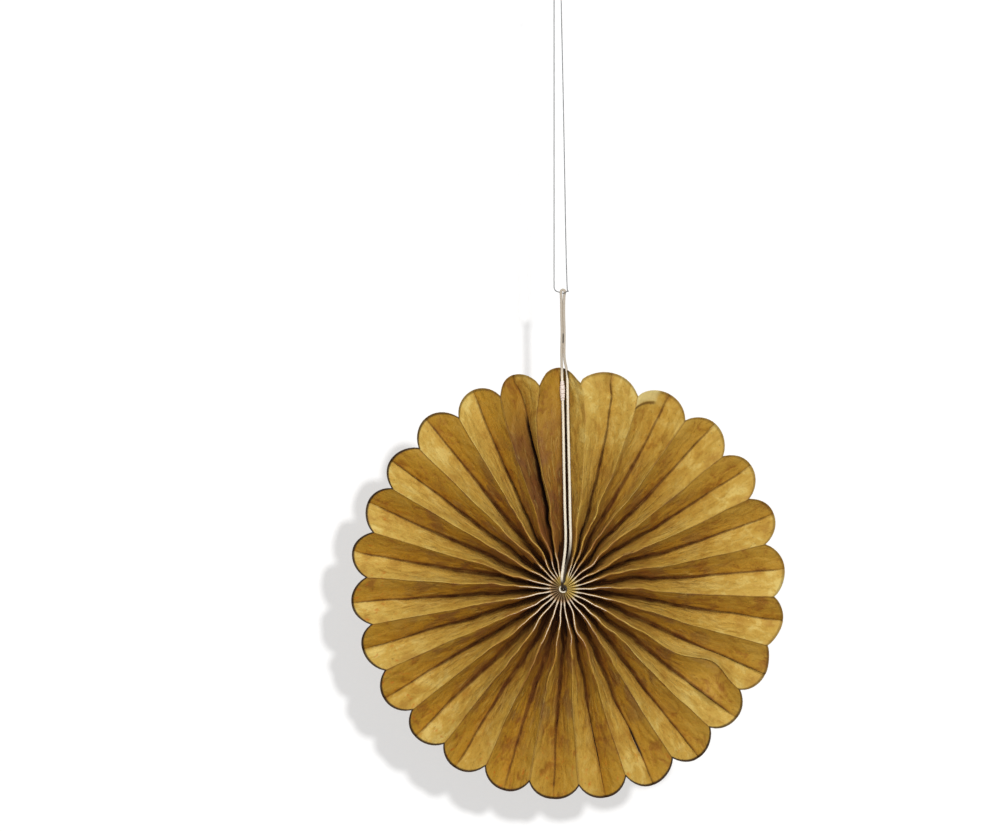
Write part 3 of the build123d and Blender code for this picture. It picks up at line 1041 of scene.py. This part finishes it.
def cotton_material(name, main, shade, slant=1.0, weathered=None, painted_shade=None):
    """Twisted cotton: slanting ply lines with loose fibres, greyer above the paper where it
    is weathered, and dark with painted shade where the given shade function marks it."""
    s = Shader(bpy.data.materials.new(name))
    place = s.node("TexCoord").outputs["Object"]
    x, _, z = s.split(place)
    if weathered is not None:
        main = s.blend(s.band(z, 0.097, 0.104, 0.0, 0.9), main, weathered)
    ply = s.node("TexWave", wave_type="BANDS", bands_direction="DIAGONAL", wave_profile="SIN")
    s.put(ply.inputs["Vector"], s.mapped(place, (1500.0, 900.0, 620.0 * slant)))
    for key, value in (("Scale", 0.5), ("Distortion", 1.6), ("Detail", 2.0), ("Detail Scale", 1.4)):
        ply.inputs[key].default_value = value
    fibres = s.noise(s.mapped(place, (5200.0, 5200.0, 1300.0)), 1.0, 3.0, 0.65)
    worn = s.noise(place, 150.0, 3.0, 0.6)
    groove = s.band(ply.outputs["Fac"], 0.05, 0.55, 1.0, 0.0)
    colour = s.blend(s.times(groove, 0.3), main, shade)
    colour = s.blend(s.times(s.band(worn, 0.5, 0.75), 0.3), colour, shade)
    colour = s.blend(s.times(s.band(fibres, 0.56, 0.78), 0.3), colour, LOOSE_FIBRE)
    if painted_shade is not None:
        # Painted shade, where the given function marks it
        colour = s.blend(painted_shade(s, place, x, z), colour, COTTON_SHADE)
    normal = s.bump(s.minus(s.times(fibres, 0.35), groove), 0.6, 0.00008)
    return s.finish(colour, normal, roughness=0.88, specular_ior_level=0.18, sheen_weight=0.06)


def clear_material(settings):
    """Clear thread: glassy, with a faint drawn grain."""
    s = Shader(bpy.data.materials.new("clear_thread"))
    place = s.node("TexCoord").outputs["Object"]
    grain = s.noise(s.mapped(place, (2600.0, 2600.0, 260.0)), 1.0, 2.0, 0.5)
    colour = s.blend(s.band(grain, 0.3, 0.75), settings.thread_colour, THREAD_GRAIN)
    normal = s.bump(grain, 0.25, 0.00003)
    return s.finish(colour, normal, roughness=0.25, specular_ior_level=0.5, transmission_weight=0.2, ior=1.49)


class MEDALLION_OT_string(bpy.types.Operator):
    """Add the doubled cotton string, hooked through the ring in the hub, with its knot"""
    bl_idname = "medallion.add_string"
    bl_label = "Hanging string"
    bl_options = {"REGISTER", "UNDO"}

    def execute(self, context):
        settings = context.scene.medallion_cords
        cotton = cotton_material(
            "cotton_string", settings.string_colour, settings.string_shade,
            weathered=settings.weathered, painted_shade=string_painted_shade,
        )
        points = to_metres([KNOT_LOWER] + STRING_POINTS + [KNOT_UPPER])
        string = cord_curve("string_loop", points, settings.string_diameter, cotton)
        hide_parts("hanging_string")
        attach(string, "root")
        knot = self.add_knot(context, settings)
        return {"FINISHED"}

    def add_knot(self, context, settings):
        """Tight turns round both ends, thickest in the middle."""
        lower, upper = Vector(KNOT_LOWER) * MM, Vector(KNOT_UPPER) * MM
        axis = (upper - lower).normalized()
        length = (upper - lower).length
        stand = axis.to_track_quat("Z", "Y").to_matrix().to_4x4()
        turns = []
        for n in range(KNOT_TURNS):
            share = (n + 0.5) / KNOT_TURNS
            radius = mix(KNOT_END_RADIUS, KNOT_MIDDLE_RADIUS, math.sin(math.pi * share) ** 0.6) * MM
            bpy.ops.mesh.primitive_torus_add(
                major_radius=radius, minor_radius=KNOT_SECTION * MM, major_segments=40, minor_segments=14,
            )
            turn = context.object
            tilt = Matrix.Rotation(math.radians(KNOT_TILTS[n % 2]), 4, "X")
            tilt = tilt @ Matrix.Rotation(math.radians(KNOT_LEAN), 4, "Y")
            # The end turns stand a little further out than even spacing has them
            place = lower + axis * length * (1.02 * share - 0.01)
            turn.data.transform(Matrix.Translation(place) @ stand @ tilt)
            turns.append(turn)
        knot = joined(turns, "string_knot_turns")
        knot.data.materials.append(cotton_material("cotton_knot", settings.knot_colour, KNOT_SHADE, 1.6))
        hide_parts("string_knot")
        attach(knot, "root")
        return knot


class MEDALLION_OT_tie(bpy.types.Operator):
    """Add the ring of thread that gathers the inner ends of the pleats"""
    bl_idname = "medallion.add_tie"
    bl_label = "Hub tie"
    bl_options = {"REGISTER", "UNDO"}

    def execute(self, context):
        settings = context.scene.medallion_cords
        middle = (TIE_LOW + TIE_HIGH) / 2
        ring = TIE_RADIUS * TIE_SLIMMER
        bpy.ops.mesh.primitive_torus_add(
            major_radius=ring, minor_radius=TIE_DIAMETER / 2 * TIE_THINNER,
            major_segments=96, minor_segments=20, location=(0, 0, 0), rotation=(0, 0, 0),
        )
        tie = context.object
        tie.name = "hub_tie_ring"
        tie.data.transform(Matrix.Translation(middle) @ Matrix.Rotation(math.radians(90), 4, "X"))
        for vertex in tie.data.vertices:
            x, y, z = vertex.co
            angle = math.atan2(z, x)
            lay = math.atan2(y - middle.y, math.hypot(x, z) - ring)
            ply = TIE_PLY_DEPTH * math.cos(TIE_PLIES * lay + TIE_PLY_TURNS * angle) - TIE_PLY_SINK
            out = Vector((x, 0, z)).normalized() * math.cos(lay) + Vector((0, 1, 0)) * math.sin(lay)
            vertex.co += out * ply * MM
        tie.data.update()
        only(tie)
        bpy.ops.object.shade_smooth()
        cotton = cotton_material(
            "cotton_tie", settings.string_colour, settings.string_shade, 0.8, painted_shade=ring_painted_shade,
        )
        tie.data.materials.append(cotton)
        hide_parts("hub_tie")
        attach(tie, "root")
        return {"FINISHED"}


class MEDALLION_OT_thread(bpy.types.Operator):
    """Add the loop of clear thread that the string hangs on, with its small knot"""
    bl_idname = "medallion.add_thread"
    bl_label = "Clear thread"
    bl_options = {"REGISTER", "UNDO"}

    def execute(self, context):
        settings = context.scene.medallion_cords
        clear = clear_material(settings)
        points = to_metres([THREAD_FIRST] + THREAD_POINTS + [THREAD_LAST])
        thread = cord_curve("thread_loop", points, settings.thread_diameter, clear)
        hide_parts("hanging_thread")
        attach(thread, "root")
        knot = self.add_knot(context, clear)
        return {"FINISHED"}

    def add_knot(self, context, clear):
        """Turns one above the other, each tilted its own way."""
        turns = []
        for n, (radius, tilt) in enumerate(THREAD_TURNS):
            bpy.ops.mesh.primitive_torus_add(
                major_radius=radius * MM, minor_radius=THREAD_TURN_SECTION * MM,
                major_segments=36, minor_segments=14,
            )
            turn = context.object
            place = Vector(THREAD_KNOT) + Vector((0, 0, (n - 1) * THREAD_TURN_STEP))
            lean = Matrix.Rotation(math.radians(tilt), 4, "Y")
            turn.data.transform(Matrix.Translation(place * MM) @ lean)
            turns.append(turn)
        knot = joined(turns, "thread_knot_turns")
        knot.data.materials.append(clear)
        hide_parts("thread_knot")
        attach(knot, "root")
        return knot


# Stage

def rays_seen(s):
    """1 for rays that a camera, a mirror or clear material sees, and 0 for the light itself."""
    ray = s.node("LightPath").outputs
    return s.most(ray["Is Camera Ray"], ray["Is Glossy Ray"], ray["Is Transmission Ray"])


def backdrop_material(settings, one_sided):
    """Plain pale surface. The backdrop shows only from its front, so that the back of the
    medallion can be looked at, and it holds back no light."""
    s = Shader(bpy.data.materials.new("pale_backdrop" if one_sided else "pale_floor"))
    seen = rays_seen(s)
    matt = s.node("BsdfDiffuse")
    s.put(matt.inputs["Color"], settings.wall_colour)
    glow = s.node("Emission")
    s.put(glow.inputs["Strength"], s.times(seen, settings.wall_glow))
    paint = s.node("AddShader")
    s.put(paint.inputs[0], matt.outputs[0])
    s.put(paint.inputs[1], glow.outputs[0])
    if not one_sided:
        return s.shown(paint.outputs[0])
    front = s.minus(1.0, s.node("NewGeometry").outputs["Backfacing"])
    nothing = s.node("BsdfTransparent").outputs[0]
    return s.shown(s.gate(s.times(seen, front), nothing, paint.outputs[0]))


def even_world(settings):
    """Even light from all sides that itself looks white."""
    s = Shader(bpy.data.worlds.new("even_light"))
    even, white = s.node("Background"), s.node("Background")
    for background, strength in ((even, settings.fill_strength), (white, 1.0)):
        background.inputs["Color"].default_value = (1.0, 1.0, 1.0, 1.0)
        background.inputs["Strength"].default_value = strength
    return s.shown(s.gate(rays_seen(s), even.outputs[0], white.outputs[0]), "OutputWorld")


class MEDALLION_OT_stage(bpy.types.Operator):
    """Add the backdrop, floor, lamps and camera"""
    bl_idname = "medallion.add_stage"
    bl_label = "Stage"
    bl_options = {"REGISTER", "UNDO"}

    def execute(self, context):
        settings = context.scene.medallion_stage
        planes = self.add_planes(context, settings)
        self.add_lights(context, settings, planes)
        context.scene.world = even_world(settings)
        self.add_camera(context, settings)
        context.scene.view_settings.view_transform = "Standard"
        return {"FINISHED"}

    def add_planes(self, context, settings):
        bpy.ops.mesh.primitive_plane_add(size=WALL_SIZE)
        wall = context.object
        wall.name = "backdrop"
        upright = Matrix.Rotation(math.radians(90), 4, "X")
        wall.data.transform(Matrix.Translation((0, settings.wall_gap, WALL_HEIGHT)) @ upright)
        wall.data.materials.append(backdrop_material(settings, True))
        bpy.ops.mesh.primitive_plane_add(size=FLOOR_SIZE)
        floor = context.object
        floor.name = "floor"
        floor.data.transform(Matrix.Translation((0, 0, -settings.floor_drop)))
        floor.data.materials.append(backdrop_material(settings, False))
        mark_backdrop(wall, floor)
        return wall, floor

    def add_lights(self, context, settings, planes):
        """Three lamps light only the medallion, and the fourth only the backdrop and floor,
        where it casts the shadow."""
        pieces = bpy.data.collections.new("medallion_pieces")
        surroundings = bpy.data.collections.new("surroundings")
        for collection, objects in ((pieces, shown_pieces()), (surroundings, planes)):
            for obj in objects:
                collection.objects.link(obj)
        for name, way, strength, softness, lit in (
            ("key_light", KEY_WAY, settings.key_strength, settings.key_softness, pieces),
            ("back_light", BACK_WAY, settings.back_strength, settings.back_softness, pieces),
            ("front_light", FRONT_WAY, settings.front_strength, settings.front_softness, pieces),
            ("shadow_light", SHADOW_WAY, settings.shadow_strength, settings.shadow_softness, surroundings),
        ):
            data = bpy.data.lights.new(name, "SUN")
            data.energy = strength
            data.angle = softness
            lamp = bpy.data.objects.new(name, data)
            lamp.rotation_euler = Vector(way).to_track_quat("-Z", "Y").to_euler()
            context.scene.collection.objects.link(lamp)
            lamp.light_linking.receiver_collection = lit

    def add_camera(self, context, settings):
        data = bpy.data.cameras.new("camera")
        data.sensor_width = FILM_WIDTH
        data.lens = FILM_WIDTH * settings.distance / settings.view_width
        data.clip_start, data.clip_end = 0.05, 50.0
        camera = bpy.data.objects.new("camera", data)
        camera.location = (settings.centre_x, -settings.distance, settings.centre_z)
        camera.rotation_euler = (math.radians(90), 0, 0)
        context.scene.collection.objects.link(camera)
        context.scene.camera = camera


# Sidebar

class MEDALLION_PT_panel(bpy.types.Panel):
    """Buttons for the pieces of the medallion, and their settings"""
    bl_label = "Paper medallion"
    bl_idname = "MEDALLION_PT_panel"
    bl_space_type = "VIEW_3D"
    bl_region_type = "UI"
    bl_category = "Medallion"

    def draw(self, context):
        layout = self.layout
        for operator in OPERATORS:
            layout.operator(operator.bl_idname)
        for title, group in (
            ("Paper", context.scene.medallion_paper),
            ("Cords", context.scene.medallion_cords),
            ("Stage", context.scene.medallion_stage),
        ):
            box = layout.box()
            box.label(text=title)
            for key in group.bl_rna.properties.keys():
                if key not in ("rna_type", "name"):
                    box.prop(group, key)


OPERATORS = (
    MEDALLION_OT_paper,
    MEDALLION_OT_tie,
    MEDALLION_OT_string,
    MEDALLION_OT_thread,
    MEDALLION_OT_stage,
)
CLASSES = (PaperSettings, CordSettings, StageSettings, *OPERATORS, MEDALLION_PT_panel)


def register():
    for cls in CLASSES:
        bpy.utils.register_class(cls)
    bpy.types.Scene.medallion_paper = bpy.props.PointerProperty(type=PaperSettings)
    bpy.types.Scene.medallion_cords = bpy.props.PointerProperty(type=CordSettings)
    bpy.types.Scene.medallion_stage = bpy.props.PointerProperty(type=StageSettings)


def unregister():
    del bpy.types.Scene.medallion_stage
    del bpy.types.Scene.medallion_cords
    del bpy.types.Scene.medallion_paper
    for cls in reversed(CLASSES):
        bpy.utils.unregister_class(cls)


def main():
    register()
    bpy.ops.medallion.add_paper()
    bpy.ops.medallion.add_tie()
    bpy.ops.medallion.add_string()
    bpy.ops.medallion.add_thread()
    bpy.ops.medallion.add_stage()
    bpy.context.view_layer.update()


if __name__ == "__main__":
    main()
